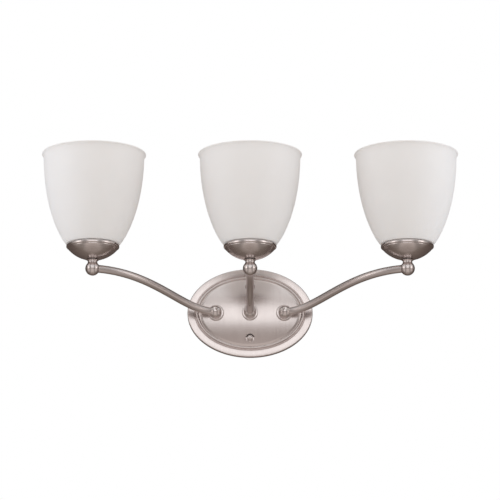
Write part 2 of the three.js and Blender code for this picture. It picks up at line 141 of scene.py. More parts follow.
WIRE_ROUNDING = 2


def linear(hex_colour):
    """An sRGB hex colour as linear red, green and blue."""
    parts = [int(hex_colour[i : i + 2], 16) / 255 for i in (1, 3, 5)]
    return tuple(p / 12.92 if p <= 0.04045 else ((p + 0.055) / 1.055) ** 2.4 for p in parts)


def millimetres(length):
    """A length in metres, as millimetres."""
    return length / MM


class VanitySizes(bpy.types.PropertyGroup):
    """Sizes of the plate, arms, balls and glass"""

    plate_half_width: bpy.props.FloatProperty(
        name="Plate half width",
        description="Half of the oval plate's width",
        default=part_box("backplate")[1].x,
        unit="LENGTH",
    )
    plate_half_height: bpy.props.FloatProperty(
        name="Plate half height",
        description="Half of the oval plate's height",
        default=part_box("backplate")[1].z,
        unit="LENGTH",
    )
    tube_radius: bpy.props.FloatProperty(
        name="Arm tube radius",
        description="Outer radius of the bent arm tube",
        default=0.00525,
        unit="LENGTH",
    )
    ball_radius: bpy.props.FloatProperty(
        name="Ball radius",
        description="Radius of the ball under each cup",
        default=0.00965,
        unit="LENGTH",
    )
    glass_wall: bpy.props.FloatProperty(
        name="Glass thickness",
        description="Thickness of the opal glass",
        default=0.0028,
        unit="LENGTH",
    )


def colour_property(name, description, hex_colour):
    """A colour that a user may change, with its default as an sRGB hex value."""
    return bpy.props.FloatVectorProperty(
        name=name,
        description=description,
        default=linear(hex_colour),
        subtype="COLOR",
        min=0,
        max=1,
    )


class VanityFinishes(bpy.types.PropertyGroup):
    """Colours of the finishes"""

    nickel: colour_property("Nickel", "Warm grey of the satin nickel plate", "#e2dbd9")
    nickel_shade: colour_property("Nickel in brush lines", "Darker warm grey in the brushing", "#d4cbc9")
    opal: colour_property("Opal glass", "Soft white of the cased glass", "#f3efed")
    zinc: colour_property("Zinc plate", "Blue grey of plated steel", "#a9aeb2")
    brass: colour_property("Brass", "Yellow of plain lampholder brass", "#c8a65a")
    phenolic: colour_property("Phenolic", "Brown black of moulded phenolic", "#2b2522")
    floor: colour_property("Floor", "Pale studio floor", "#e9e7e4")


class VanityStudio(bpy.types.PropertyGroup):
    """Brightness of the studio's lights"""

    window: bpy.props.FloatProperty(
        name="Front window",
        description="Brightness of the long soft window in front",
        default=0.82,
        min=0,
    )
    side: bpy.props.FloatProperty(
        name="Side windows",
        description="Brightness of the tall soft windows at both sides",
        default=1.25,
        min=0,
    )
    card: bpy.props.FloatProperty(
        name="Cards",
        description="Brightness of the white cards at both sides, which only metal shows",
        default=1.1,
        min=0,
    )
    fill: bpy.props.FloatProperty(
        name="Fill",
        description="Brightness of the even light on matt surfaces",
        default=0.8,
        min=0,
    )


def sizes():
    """The sizes that the scene holds."""
    return bpy.context.scene.vanity_sizes


def finishes():
    """The colours that the scene holds."""
    return bpy.context.scene.vanity_finishes


# ---- Outlines and turned shapes ----


def arc(centre_radius, centre_height, radius, start, end, steps):
    """Points of a round stretch, with its angles in degrees, both ends included."""
    points = []
    for i in range(steps + 1):
        angle = math.radians(start + (end - start) * i / steps)
        points.append((centre_radius + radius * math.cos(angle), centre_height + radius * math.sin(angle)))
    return points


def outline(bm, points, closed):
    """A wire in the turning plane, of points (radius, height), or (radius, height, rounding) at a corner."""
    verts = [bm.verts.new((point[0], 0, point[1])) for point in points]
    ends = verts[1:] + verts[:1] if closed else verts[1:]
    for start, end in zip(verts, ends):
        bm.edges.new((start, end))
    for rounding in sorted({point[2] for point in points if len(point) > 2}):
        corners = [vert for vert, point in zip(verts, points) if len(point) > 2 and point[2] == rounding]
        bmesh.ops.bevel(
            bm,
            geom=corners,
            offset=rounding,
            offset_type="OFFSET",
            affect="VERTICES",
            segments=CORNER_STEPS,
            profile=0.5,
            material=-1,
            clamp_overlap=True,
        )


def turned(points, steps, closed=False):
    """A shape turned about Z from an outline that ends on the axis, or that closes on itself."""
    bm = bmesh.new()
    outline(bm, points, closed)
    bmesh.ops.spin(
        bm,
        geom=bm.verts[:] + bm.edges[:],
        axis=(0, 0, 1),
        cent=(0, 0, 0),
        angle=FULL_TURN,
        steps=steps,
        use_merge=True,
    )
    bmesh.ops.remove_doubles(bm, verts=bm.verts, dist=1e-4)
    bmesh.ops.recalc_face_normals(bm, faces=bm.faces)
    return bm


def in_scene(bm, name):
    """An object in the scene, from a shape that is in metres."""
    mesh = bpy.data.meshes.new(name)
    bm.to_mesh(mesh)
    bm.free()
    thing = bpy.data.objects.new(name, mesh)
    bpy.context.scene.collection.objects.link(thing)
    return thing


def finished(bm, node, material, place=None):
    """Puts a shape in place in metres, as the piece that stands for a CAD node and rides with its body."""
    bmesh.ops.transform(bm, matrix=Matrix.Scale(MM, 4) @ (place or Matrix()), verts=bm.verts)
    piece = in_scene(bm, node + ".fine")
    piece.data.materials.append(material)
    piece.data.shade_smooth()
    piece.data.set_sharp_from_angle(angle=SMOOTH_BELOW)
    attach(piece, body_of(node))
    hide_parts(node)
    return piece


def body_of(node):
    """The body that a CAD node belongs to."""
    members = frame["record"]["behaviour"]["bodies"]
    return next(body for body, nodes in members.items() if node in nodes)


def lamp_place(place):
    """Where a lamp stack's measuring point is: the middle of the ball under its cup."""
    low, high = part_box("glass_shade_" + place)
    middle = (low + high) / 2
    ball_height = millimetres(high.z) - GLASS_TOP
    return Matrix.Translation((millimetres(middle.x), millimetres(middle.y), ball_height))


def outward(x, z):
    """Turns a shape's Z to point away from the wall, at a place on the wall."""
    return Matrix.Translation((x, 0, z)) @ Matrix.Rotation(QUARTER_TURN, 4, "X")


# ---- Finishes ----


def add(tree, kind, inputs=None, stops=None, **settings):
    """A node of this kind with its settings, its inputs set or linked, and a colour ramp's stops."""
    node = tree.nodes.new(kind)
    for name, value in settings.items():
        setattr(node, name, value)
    for name, value in (inputs or {}).items():
        if isinstance(value, bpy.types.NodeSocket):
            tree.links.new(value, node.inputs[name])
        else:
            node.inputs[name].default_value = value
    if stops:
        elements = node.color_ramp.elements
        for _ in stops[2:]:
            elements.new(0.5)
        for element, (place, colour) in zip(elements, stops):
            element.position = place
            element.color = opaque(colour)
    return node


def opaque(colour):
    """A colour with full cover."""
    return (*colour, 1)


def scaled(colour, share):
    """A colour with all its parts multiplied by a share, which darkens it below one."""
    return [channel * share for channel in colour]


def new_material(name):
    """An empty material and its node tree."""
    material = bpy.data.materials.new(name)
    material.use_nodes = True
    material.node_tree.nodes.clear()
    return material, material.node_tree


def feature_scale(length):
    """Noise scale that makes a pattern's features this many millimetres wide."""
    return 1 / (length * MM)


# Roughness, stretch of reflections across the lines, and quarter turns of that stretch, for each lay
LAYS = {"plate": (0.25, 0.45, 0), "turned": (0.21, 0.3, 0.25), "root": (0.21, 0, 0), "tube": (0.28, 0, 0)}
# Name, length or spacing of the brush lines in millimetres along each axis, and lay
PLATE_NICKEL = ("upright brushed nickel", (0.4, 8, 45), "plate")
TURNED_NICKEL = ("nickel brushed round a post", (12, 12, 0.4), "turned")
ROOT_NICKEL = ("nickel brushed round a root", (12, 0.4, 12), "root")
TUBE_NICKEL = ("nickel brushed along a tube", (0.5, 0.5, 30), "tube")
FINISHES = {}


def kept(maker, *facts):
    """The finish that a maker gives for these facts, made once and shared."""
    key = (maker.__name__, *facts)
    if key not in FINISHES:
        FINISHES[key] = maker(*facts)
    return FINISHES[key]


def brushed_nickel(name, grain, lay):
    """Satin nickel plated over fine brushing: a warm grey metal whose lines draw reflections out.

    Real lines are about 0.05 mm apart, which is too fine to show, so they are drawn about 0.4 mm apart.
    They run up the plate, round a turned piece or an arm's root, and along a tube.
    """
    material, tree = new_material(name)
    if lay == "tube":
        where = add(tree, "ShaderNodeAttribute", attribute_name=TUBE_PLACE).outputs["Vector"]
    else:
        where = add(tree, "ShaderNodeTexCoord").outputs["Object"]
    scale = [feature_scale(length) for length in grain]
    along = add(tree, "ShaderNodeMapping", {"Vector": where, "Scale": scale}).outputs["Vector"]
    lines = add(tree, "ShaderNodeTexNoise", {"Vector": along, "Scale": 1, "Detail": 5, "Roughness": 0.65})
    clouds = add(tree, "ShaderNodeTexNoise", {"Vector": where, "Scale": feature_scale(18), "Detail": 3})
    contrast = add(
        tree,
        "ShaderNodeMapRange",
        {"Value": lines.outputs["Fac"], "From Min": 0.3, "From Max": 0.7},
    )
    tone = add(
        tree,
        "ShaderNodeValToRGB",
        {"Fac": contrast.outputs["Result"]},
        stops=((0, finishes().nickel_shade), (1, finishes().nickel)),
    )
    roughness, stretch, turn = LAYS[lay]
    gloss = add(
        tree,
        "ShaderNodeMapRange",
        {"Value": clouds.outputs["Fac"], "To Min": roughness - 0.02, "To Max": roughness + 0.03},
    )
    relief = add(
        tree,
        "ShaderNodeBump",
        {"Height": lines.outputs["Fac"], "Strength": 0.05, "Distance": 0.01 * MM},
    )
    inputs = {
        "Base Color": tone.outputs["Color"],
        "Metallic": 1,
        "Roughness": gloss.outputs["Result"],
        "Anisotropic": stretch,
        "Anisotropic Rotation": turn,
        "Normal": relief.outputs["Normal"],
    }
    if lay == "plate":
        tangent = add(tree, "ShaderNodeTangent", direction_type="UV_MAP", uv_map=PLATE_MAP)
        inputs["Tangent"] = tangent.outputs["Tangent"]
    shader = add(tree, "ShaderNodeBsdfPrincipled", inputs)
    add(tree, "ShaderNodeOutputMaterial", {"Surface": shader.outputs["BSDF"]})
    return material


def nickel(*facts):
    """Brushed nickel with one of the lays above."""
    return kept(brushed_nickel, *facts)


def opal_glass():
    """Cased opal glass, blown and acid etched: a milky white that light soaks into, with slow waves.

    Real etching is far finer than the 0.5 mm grain here, which is as coarse as it needs to be to show.
    """
    material, tree = new_material("etched opal glass")
    where = add(tree, "ShaderNodeTexCoord").outputs["Object"]
    waves = add(tree, "ShaderNodeTexNoise", {"Vector": where, "Scale": feature_scale(26), "Detail": 1})
    etch = add(tree, "ShaderNodeTexNoise", {"Vector": where, "Scale": feature_scale(0.5), "Detail": 3})
    tone = add(
        tree,
        "ShaderNodeValToRGB",
        {"Fac": waves.outputs["Fac"]},
        stops=((0, scaled(finishes().opal, 0.965)), (1, finishes().opal)),
    )
    slow = add(
        tree,
        "ShaderNodeBump",
        {"Height": waves.outputs["Fac"], "Strength": 0.25, "Distance": 0.4 * MM},
    )
    relief = add(
        tree,
        "ShaderNodeBump",
        {
            "Height": etch.outputs["Fac"],
            "Strength": 0.1,
            "Distance": 0.02 * MM,
            "Normal": slow.outputs["Normal"],
        },
    )
    shader = add(
        tree,
        "ShaderNodeBsdfPrincipled",
        {
            "Base Color": tone.outputs["Color"],
            "Roughness": 0.5,
            "IOR": 1.5,
            "Specular IOR Level": 0.3,
            "Subsurface Weight": 0.35,
            "Subsurface Radius": (1.0, 0.93, 0.88),
            "Subsurface Scale": 4 * MM,
            "Normal": relief.outputs["Normal"],
        },
    )
    add(tree, "ShaderNodeOutputMaterial", {"Surface": shader.outputs["BSDF"]})
    return material


def zinc_plate():
    """Zinc on pressed steel under a dull clear film: blue grey, mottled with crystals about 3 mm wide."""
    material, tree = new_material("zinc plated steel")
    where = add(tree, "ShaderNodeTexCoord").outputs["Object"]
    crystals = add(tree, "ShaderNodeTexVoronoi", {"Vector": where, "Scale": feature_scale(3)})
    mottle = add(tree, "ShaderNodeTexNoise", {"Vector": where, "Scale": feature_scale(1.5), "Detail": 3})
    tone = add(
        tree,
        "ShaderNodeValToRGB",
        {"Fac": crystals.outputs["Distance"]},
        stops=((0, finishes().zinc), (1, scaled(finishes().zinc, 0.72))),
    )
    gloss = add(
        tree,
        "ShaderNodeMapRange",
        {"Value": mottle.outputs["Fac"], "To Min": 0.34, "To Max": 0.52},
    )
    shader = add(
        tree,
        "ShaderNodeBsdfPrincipled",
        {"Base Color": tone.outputs["Color"], "Metallic": 0.7, "Roughness": gloss.outputs["Result"]},
    )
    add(tree, "ShaderNodeOutputMaterial", {"Surface": shader.outputs["BSDF"]})
    return material


def drawn_metal(name, colour):
    """Bare drawn brass or copper, or a dyed steel screw: tinted metal with brown tarnish in patches."""
    material, tree = new_material(name)
    where = add(tree, "ShaderNodeTexCoord").outputs["Object"]
    patches = add(tree, "ShaderNodeTexNoise", {"Vector": where, "Scale": feature_scale(6), "Detail": 4})
    tarnish = [channel * share for channel, share in zip(colour, (0.7, 0.62, 0.5))]
    tone = add(
        tree,
        "ShaderNodeValToRGB",
        {"Fac": patches.outputs["Fac"]},
        stops=((0, tarnish), (1, colour)),
    )
    gloss = add(
        tree,
        "ShaderNodeMapRange",
        {"Value": patches.outputs["Fac"], "To Min": 0.42, "To Max": 0.26},
    )
    shader = add(
        tree,
        "ShaderNodeBsdfPrincipled",
        {"Base Color": tone.outputs["Color"], "Metallic": 1, "Roughness": gloss.outputs["Result"]},
    )
    add(tree, "ShaderNodeOutputMaterial", {"Surface": shader.outputs["BSDF"]})
    return material


def moulded(name, colour, roughness, grain):
    """Moulded phenolic or extruded vinyl: an even colour with a fine pebbled skin.

    The grain is the pebbles' width in millimetres, coarser than a real skin's so that it shows.
    """
    material, tree = new_material(name)
    where = add(tree, "ShaderNodeTexCoord").outputs["Object"]
    pebble = add(tree, "ShaderNodeTexNoise", {"Vector": where, "Scale": feature_scale(grain), "Detail": 4})
    tone = add(
        tree,
        "ShaderNodeValToRGB",
        {"Fac": pebble.outputs["Fac"]},
        stops=((0, colour), (1, scaled(colour, 1.25))),
    )
    relief = add(
        tree,
        "ShaderNodeBump",
        {"Height": pebble.outputs["Fac"], "Strength": 0.3, "Distance": 0.05 * MM},
    )
    shader = add(
        tree,
        "ShaderNodeBsdfPrincipled",
        {
            "Base Color": tone.outputs["Color"],
            "Roughness": roughness,
            "IOR": 1.55,
            "Normal": relief.outputs["Normal"],
        },
    )
    add(tree, "ShaderNodeOutputMaterial", {"Surface": shader.outputs["BSDF"]})
    return material


def floor_paper(colour):
    """Matt pale paper on the studio floor: an even colour with a faint mottle about 250 mm wide."""
    material, tree = new_material("floor paper")
    where = add(tree, "ShaderNodeTexCoord").outputs["Object"]
    mottle = add(tree, "ShaderNodeTexNoise", {"Vector": where, "Scale": feature_scale(250), "Detail": 3})
    tone = add(
        tree,
        "ShaderNodeValToRGB",
        {"Fac": mottle.outputs["Fac"]},
        stops=((0, scaled(colour, 0.96)), (1, colour)),
    )
    shader = add(tree, "ShaderNodeBsdfPrincipled", {"Base Color": tone.outputs["Color"], "Roughness": 0.8})
    add(tree, "ShaderNodeOutputMaterial", {"Surface": shader.outputs["BSDF"]})
    return material


# ---- Backplate and its cap nuts ----


def half_sizes():
    """Half width and half height of the plate, then of its dome."""
    width = millimetres(sizes().plate_half_width)
    height = millimetres(sizes().plate_half_height)
    return width, height, width - SIDE_SPREAD * BORDER, height - BORDER


def dome_depth(share):
    """Depth of the dome's front from the wall, at a share of the dome's half size."""
    return DOME_TOP_DEPTH - (DOME_TOP_DEPTH - DOME_EDGE_DEPTH) * share**2


def dome(inset, half_height):
    """The dome's line from its middle to its edge, set back by an inset."""
    points = []
    for i in range(DOME_RINGS + 1):
        share = i / DOME_RINGS
        points.append((share * half_height, dome_depth(share) - inset))
    return points


def plate_outline():
    """Dome, inner wall, rim, flat border, groove and raised bead, as one closed outline.

    The points past the dome are (distance in from the plate's edge, depth from the wall, rounding).
    """
    _, half_height, _, dome_half_height = half_sizes()
    inside = [(14.6, 6.6, 0.8), (10.8, 4.6, 0.6), (2.3, 5.3, 0.4), (1.3, 4.3, 0.4), (1.3, 0)]
    border = [(0, 0, 0.3), (0, 5.6, 0.8), (0.9, BORDER_DEPTH, 0.4), (9.1, BORDER_DEPTH, 0.4)]
    bead = [(10.1, 5.5, 0.35), (11.5, 8.5, 0.6), (12.7, 9.2, 0.7), (14.1, 8.5, 0.6), (14.9, 7.5, 0.4)]
    formed = [(half_height - inward, *rest) for inward, *rest in inside + border + bead]
    return dome(PLATE_WALL, dome_half_height) + formed + dome(0, dome_half_height)[::-1]


def widened(bm):
    """Makes a plate of round rings oval: each ring keeps its half height and gets its own half width."""
    half_width, half_height, dome_half_width, dome_half_height = half_sizes()
    for vert in bm.verts:
        ring = math.hypot(vert.co.x, vert.co.y)
        if ring > dome_half_height:
            vert.co.x *= (half_width - SIDE_SPREAD * (half_height - ring)) / ring
        else:
            vert.co.x *= dome_half_width / dome_half_height
    return bm


def flat_map(bm):
    """Keeps each corner's place across and up the wall, for the brush lines to follow."""
    layer = bm.loops.layers.uv.new(PLATE_MAP)
    for face in bm.faces:
        for loop in face.loops:
            loop[layer].uv = (loop.vert.co.x, loop.vert.co.y)


def seat_cutter(z):
    """The shallow dish that a cap nut sits in, as a cutting shape that stands out past the dome."""
    mouth = NUT_SEAT_RADIUS + 1
    past_dome = DOME_TOP_DEPTH + 3
    points = [(0, NUT_SEAT_DEPTH), (NUT_SEAT_RADIUS, NUT_SEAT_DEPTH, 0.4)]
    points += [(mouth, NUT_SEAT_DEPTH + 1), (mouth, past_dome), (0, past_dome)]
    bm = turned(points, SMALL_STEPS)
    bmesh.ops.transform(bm, matrix=outward(0, z), verts=bm.verts)
    bmesh.ops.scale(bm, vec=(MM, MM, MM), verts=bm.verts)
    return in_scene(bm, "seat cutter")


def cut(piece, cutter):
    """Takes a cutting shape out of a piece for good."""
    modifier = piece.modifiers.new("cut", "BOOLEAN")
    modifier.object = cutter
    modifier.solver = "EXACT"
    with bpy.context.temp_override(object=piece, active_object=piece):
        bpy.ops.object.modifier_apply(modifier=modifier.name)
    bpy.data.objects.remove(cutter)


class VANITY_OT_backplate(bpy.types.Operator):
    """Press the oval backplate with its border, bead, dome and nut seats"""

    bl_idname = "vanity.backplate"
    bl_label = "Backplate"

    def execute(self, context):
        bm = widened(turned(plate_outline(), PLATE_STEPS))
        flat_map(bm)
        plate = finished(bm, "backplate", nickel(*PLATE_NICKEL), outward(0, 0))
        for z in STUD_HEIGHTS:
            cut(plate, seat_cutter(z))
        return {"FINISHED"}


def cap_nut_outline():
    """Threaded hole, flange and ball of a cap nut, standing just clear of its seat."""
    base = NUT_SEAT_DEPTH + CAP_NUT_ROOM
    hole = [(0, base + 6.8), (CAP_NUT_BORE, base + 6.3), (CAP_NUT_BORE, base)]
    flange = [(5, base, 0.25), (5, base + 1.2, 0.3), (3.3, base + 1.9, 0.3)]
    return hole + flange + arc(0, base + 5.2, 4.2, -36, 90, 20)


class VANITY_OT_cap_nuts(bpy.types.Operator):
    """Turn the two ball-shaped cap nuts that hold the plate"""

    bl_idname = "vanity.cap_nuts"
    bl_label = "Cap nuts"

    def execute(self, context):
        for name, z in zip(("lower", "upper"), STUD_HEIGHTS):
            nut = turned(cap_nut_outline(), SMALL_STEPS)
            finished(nut, "cap_nut_" + name, nickel(*ROOT_NICKEL), outward(0, z))
        return {"FINISHED"}


# ---- Arms ----


def arm_root(side):
    """Foot and tilt of an arm's root on the dome, and the middle of its ball."""
    _, _, dome_half_width, dome_half_height = half_sizes()
    share = ROOT_X / dome_half_width
    slope = 2 * (DOME_TOP_DEPTH - DOME_EDGE_DEPTH) * share / dome_half_width
    tilt = side * math.atan(slope)
    depth = dome_depth(share) if side else dome_depth(ROOT_Z / dome_half_height)
    foot = Vector((side * ROOT_X, -depth, ROOT_Z))
    out = Vector((math.sin(tilt), -math.cos(tilt), 0))
    return foot, tilt, foot + out * KNUCKLE_BALL_HEIGHT


def root_place(side):
    """Where an arm root's measuring point is: its foot, with Z along the root and away from the dome."""
    foot, tilt, _ = arm_root(side)
    turn = Matrix.Rotation(tilt, 4, "Z") @ Matrix.Rotation(QUARTER_TURN, 4, "X")
    return Matrix.Translation(foot) @ turn


def arm_line(place):
    """Centre line of an arm tube, between the two balls that it is brazed into."""
    side = SIDES[place]
    start = arm_root(side)[2]
    end = lamp_place(place).to_translation()
    leave = Vector((side * SIDE_LEAVE.x, SIDE_LEAVE.y, 0)) if side else CENTRE_LEAVE
    arrive = Vector((side * SIDE_ARRIVE.x, SIDE_ARRIVE.y, 0)) if side else CENTRE_ARRIVE
    fine = interpolate_bezier(start, start + leave, end + arrive, end, TUBE_LINE_STEPS)
    return evenly_spaced(fine, TUBE_INSERT, TUBE_STATIONS)


def evenly_spaced(points, kept_back, count):
    """Points at even distances along a line, keeping back from both of its ends."""
    lengths = [0]
    for before, after in zip(points, points[1:]):
        lengths.append(lengths[-1] + (after - before).length)
    spaced = []
    step = (lengths[-1] - 2 * kept_back) / (count - 1)
    i = 1
    for station in range(count):
        wanted = kept_back + station * step
        while lengths[i] < wanted and i < len(points) - 1:
            i += 1
        share = (wanted - lengths[i - 1]) / (lengths[i] - lengths[i - 1])
        spaced.append(points[i - 1].lerp(points[i], share))
    return spaced


def tube_along(line, radius, sides):
    """Closed tube along a line, keeping each point's place round and along it for the brush lines."""
    bm = bmesh.new()
    place_layer = bm.verts.layers.float_vector.new(TUBE_PLACE)
    run = 0
    last_loop = None
    for i, point in enumerate(line):
        heading = line[min(i + 1, len(line) - 1)] - line[max(i - 1, 0)]
        turn = heading.to_track_quat("Z", "Y").to_matrix().to_4x4()
        ring = bmesh.ops.create_circle(bm, segments=sides, radius=radius)["verts"]
        if i:
            run += (point - line[i - 1]).length
        for vert in ring:
            vert[place_layer] = Vector((vert.co.x, vert.co.y, run)) * MM
        bmesh.ops.transform(bm, matrix=Matrix.Translation(point) @ turn, verts=ring)
        loop = list({edge for vert in ring for edge in vert.link_edges})
        if last_loop:
            bmesh.ops.bridge_loops(bm, edges=last_loop + loop)
        last_loop = loop
    bmesh.ops.holes_fill(bm, edges=bm.edges, sides=0)
    bmesh.ops.recalc_face_normals(bm, faces=bm.faces)
    return bm


class VANITY_OT_arm_tubes(bpy.types.Operator):
    """Bend the three arm tubes"""

    bl_idname = "vanity.arm_tubes"
    bl_label = "Arm tubes"

    def execute(self, context):
        radius = millimetres(sizes().tube_radius)
        for place in SIDES:
            bm = tube_along(arm_line(place), radius, TUBE_SIDES)
            finished(bm, "arm_tube_" + place, nickel(*TUBE_NICKEL))
        return {"FINISHED"}


def knuckle_outline():
    """Stepped foot, short waist and ball of an arm's root."""
    hole = [(0, 2), (NIPPLE_BORE, 2), (NIPPLE_BORE, 0.3)]
    foot = [(11, 0.3, 0.3), (11, 1.9, 0.6), (10.2, 2.6, 0.3), (7.5, 2.8)]
    return hole + foot + arc(0, KNUCKLE_BALL_HEIGHT, KNUCKLE_BALL_RADIUS, -33.2, 90, 28)


class VANITY_OT_arm_roots(bpy.types.Operator):
    """Turn the stepped foot and ball where each arm meets the plate"""

    bl_idname = "vanity.arm_roots"
    bl_label = "Arm roots"

    def execute(self, context):
        for place, side in SIDES.items():
            bm = turned(knuckle_outline(), LAMP_STEPS)
            finished(bm, "arm_knuckle_" + place, nickel(*ROOT_NICKEL), root_place(side))
        return {"FINISHED"}


# ---- Ball coupling, neck and cup ----


def ball_outline():
    """Ball with a flat top and a hole for the running tube."""
    radius = millimetres(sizes().ball_radius)
    flat = math.degrees(math.asin(BALL_FLAT / radius))
    return arc(0, 0, radius, -90, flat, 36) + [(NIPPLE_BORE, BALL_FLAT), (NIPPLE_BORE, 0), (0, -2)]


def neck_outline():
    """Waisted collar between ball and cup, as one closed outline."""
    low = BALL_FLAT + STACK_GAP
    high = CUP_SPHERE_Z - CUP_SPHERE - STACK_GAP
    waist = [(6.7, low, 0.25), (6.2, low + 1.1, 1), (6.5, high - 1.2, 1)]
    return [(NIPPLE_BORE, low), *waist, (8.2, high - 0.3, 0.4), (8.2, high, 0.2), (NIPPLE_BORE, high)]


class VANITY_OT_couplings(bpy.types.Operator):
    """Turn the ball and the waisted neck under each cup"""

    bl_idname = "vanity.couplings"
    bl_label = "Ball couplings"

    def execute(self, context):
        for place in SIDES:
            stand = lamp_place(place)
            ball = turned(ball_outline(), LAMP_STEPS)
            finished(ball, "arm_ball_" + place, nickel(*TURNED_NICKEL), stand)
            neck = turned(neck_outline(), LAMP_STEPS, closed=True)
            finished(neck, "neck_" + place, nickel(*TURNED_NICKEL), stand)
        return {"FINISHED"}


def cup_outline():
    """Spun bowl with an upright lip that stands a little proud of it, as one closed outline."""
    inner = CUP_SPHERE - CUP_WALL
    rise = CUP_SPHERE_Z - CUP_EDGE_Z
    outer_edge = -math.degrees(math.asin(rise / CUP_SPHERE))
    inner_edge = -math.degrees(math.asin(rise / inner))
    outer_hole, inner_hole = -83.3, -83.1
    outside = arc(0, CUP_SPHERE_Z, CUP_SPHERE, outer_hole, outer_edge, 32)
    under = [(33.5, 27.7, 0.15), (34.8, 28.0, 0.3)]
    lip = [(35.4, 28.8, 0.5), (35.4, 31.3, 0.9), (34.0, 32.3, 0.7), (32.2, 31.4, 0.7)]
    return outside + under + lip + arc(0, CUP_SPHERE_Z, inner, inner_edge, inner_hole, 32)


class VANITY_OT_cups(bpy.types.Operator):
    """Spin the three shade cups with their upright lips"""

    bl_idname = "vanity.cups"
    bl_label = "Shade cups"

    def execute(self, context):
        for place in SIDES:
            bm = turned(cup_outline(), LAMP_STEPS, closed=True)
            finished(bm, "shade_cup_" + place, nickel(*TURNED_NICKEL), lamp_place(place))
        return {"FINISHED"}


# ---- Glass ----


def shade_outline(wall):
    """Goblet wall of even thickness with a rolled-in foot and a small flared lip."""
    side = interpolate_bezier(
        Vector((35.2, 33.0)),
        Vector((37, 32.8)),
        Vector((66.3, 71.6)),
        Vector((67.6, 152.5)),
        40,
    )
    inside = []
    for before, here, after in zip(side, side[1:], side[2:] + [side[-1]]):
        along = (after - before).normalized()
        inside.append((here.x - wall * along.y, here.y + wall * along.x))
    foot = [(20.8, GLASS_BASE, 1), (26.5, GLASS_BASE, 1.5), (29.4, 26.8, 1.5), (30.3, 32.2, 1.2)]
    lip = [(68.4, 155.6, 1), (70, 156.5, 0.5), (70, GLASS_TOP, 0.8), (66.6, GLASS_TOP, 0.8)]
    floor = [(26.8, 29.8, 1), (25.2, GLASS_BASE + wall, 1), (20.8, GLASS_BASE + wall, 1)]
    outside = [tuple(point) for point in side]
    return foot + outside + lip + inside[::-1] + floor


class VANITY_OT_shades(bpy.types.Operator):
    """Blow the three opal glass goblets"""

    bl_idname = "vanity.shades"
    bl_label = "Glass shades"

    def execute(self, context):
        wall = millimetres(sizes().glass_wall)
        for place in SIDES:
            bm = turned(shade_outline(wall), LAMP_STEPS, closed=True)
            finished(bm, "glass_shade_" + place, kept(opal_glass), lamp_place(place))
        return {"FINISHED"}


# ---- Lampholders, seen from above through the mouth of each glass ----


def socket_outline():
    """Stem hole, base, flange under the glass, barrel, and well with a pit for the contact."""
    hole = [(0, 20.5), (NIPPLE_BORE, 20.5), (NIPPLE_BORE, 16.9)]
    base = [(16.6, 16.9, 0.4), (16.6, 21.8), (24.5, 21.8, 0.4), (24.5, 24.7, 0.4), (18.3, 24.7)]
    barrel = [(18.3, SOCKET_TOP, 0.8), (14.4, SOCKET_TOP, 0.6), (14.4, SOCKET_FLOOR, 0.3)]
    return hole + base + barrel + [(2.8, SOCKET_FLOOR, 0.2), (2.8, 22.5), (0, 22.5)]


def shell_outline():
    """Rolled brass thread: a wave whose crests are one thread apart, with a turned-in floor."""
    floor = SOCKET_FLOOR + 0.3
    top = SOCKET_TOP - 3
    wave = []
    for i in range(SHELL_STEPS + 1):
        height = top - (top - floor - 1.2) * i / SHELL_STEPS
        swing = SHELL_WAVE * math.cos(FULL_TURN * (top - height) / SHELL_PITCH)
        wave.append((SHELL_RADIUS + swing, height))
    outer = [(radius + SHELL_WALL, height) for radius, height in reversed(wave)]
    return wave + [(12.6, floor + 0.5), (7, floor + 0.5), (7, floor), (13.2, floor, 0.4)] + outer


def contact_outline():
    """Sprung contact: a post and a round-topped button."""
    points = [(0, 25.3), (2.5, 25.3), (2.5, 29.5), (4, 29.5, 0.2), (4, 31, 0.3)]
    return points + arc(0, 29.2, 2.3, 45, 90, 6)


def ring_outline():
    """Shade ring: a flange that clamps the glass, and a collar to turn it by."""
    points = [(19.1, 28.1), (24.2, 28.1, 0.4), (24.2, 30.5, 0.5), (21.4, 31.3, 0.6)]
    return points + [(21.4, 36.1, 0.5), (19.1, 36.1, 0.3)]


def cut_grips(bm, count, depth, low, high, radius):
    """Presses shallow upright grips into a ring's collar, between two heights and beyond a radius."""
    for vert in bm.verts:
        out = math.hypot(vert.co.x, vert.co.y)
        if low < vert.co.z < high and out > radius:
            angle = math.atan2(vert.co.y, vert.co.x)
            share = 1 - depth * (0.5 + 0.5 * math.cos(count * angle)) / out
            vert.co.x *= share
            vert.co.y *= share


class VANITY_OT_lampholders(bpy.types.Operator):
    """Mould the sockets and shade rings, and roll the screw shells and contacts"""

    bl_idname = "vanity.lampholders"
    bl_label = "Lampholders"

    def execute(self, context):
        black = kept(moulded, "moulded phenolic", tuple(finishes().phenolic), 0.42, 0.6)
        brass = kept(drawn_metal, "drawn brass", tuple(finishes().brass))
        for place in SIDES:
            stand = lamp_place(place)
            finished(turned(socket_outline(), LAMP_STEPS), "socket_" + place, black, stand)
            finished(turned(shell_outline(), LAMP_STEPS, closed=True), "screw_shell_" + place, brass, stand)
            finished(turned(contact_outline(), SMALL_STEPS), "centre_contact_" + place, brass, stand)
            ring = turned(ring_outline(), LAMP_STEPS * 2, closed=True)
            cut_grips(ring, count=32, depth=0.5, low=31.5, high=36, radius=20.5)
            finished(ring, "shade_ring_" + place, black, stand)
        return {"FINISHED"}


# ---- Hardware behind the plate and inside the cups ----


def threaded_tube(low, high):
    """Running tube with its thread as close rings."""
    root = NIPPLE_RADIUS - NIPPLE_THREAD_DEPTH
    points = []
    turns = round((high - low) / NIPPLE_PITCH)
    for i in range(turns):
        height = low + i * (high - low) / turns
        points += [(root, height), (NIPPLE_RADIUS, height + NIPPLE_PITCH / 2)]
    return points + [(root, high), (NIPPLE_HOLE, high), (NIPPLE_HOLE, low)]


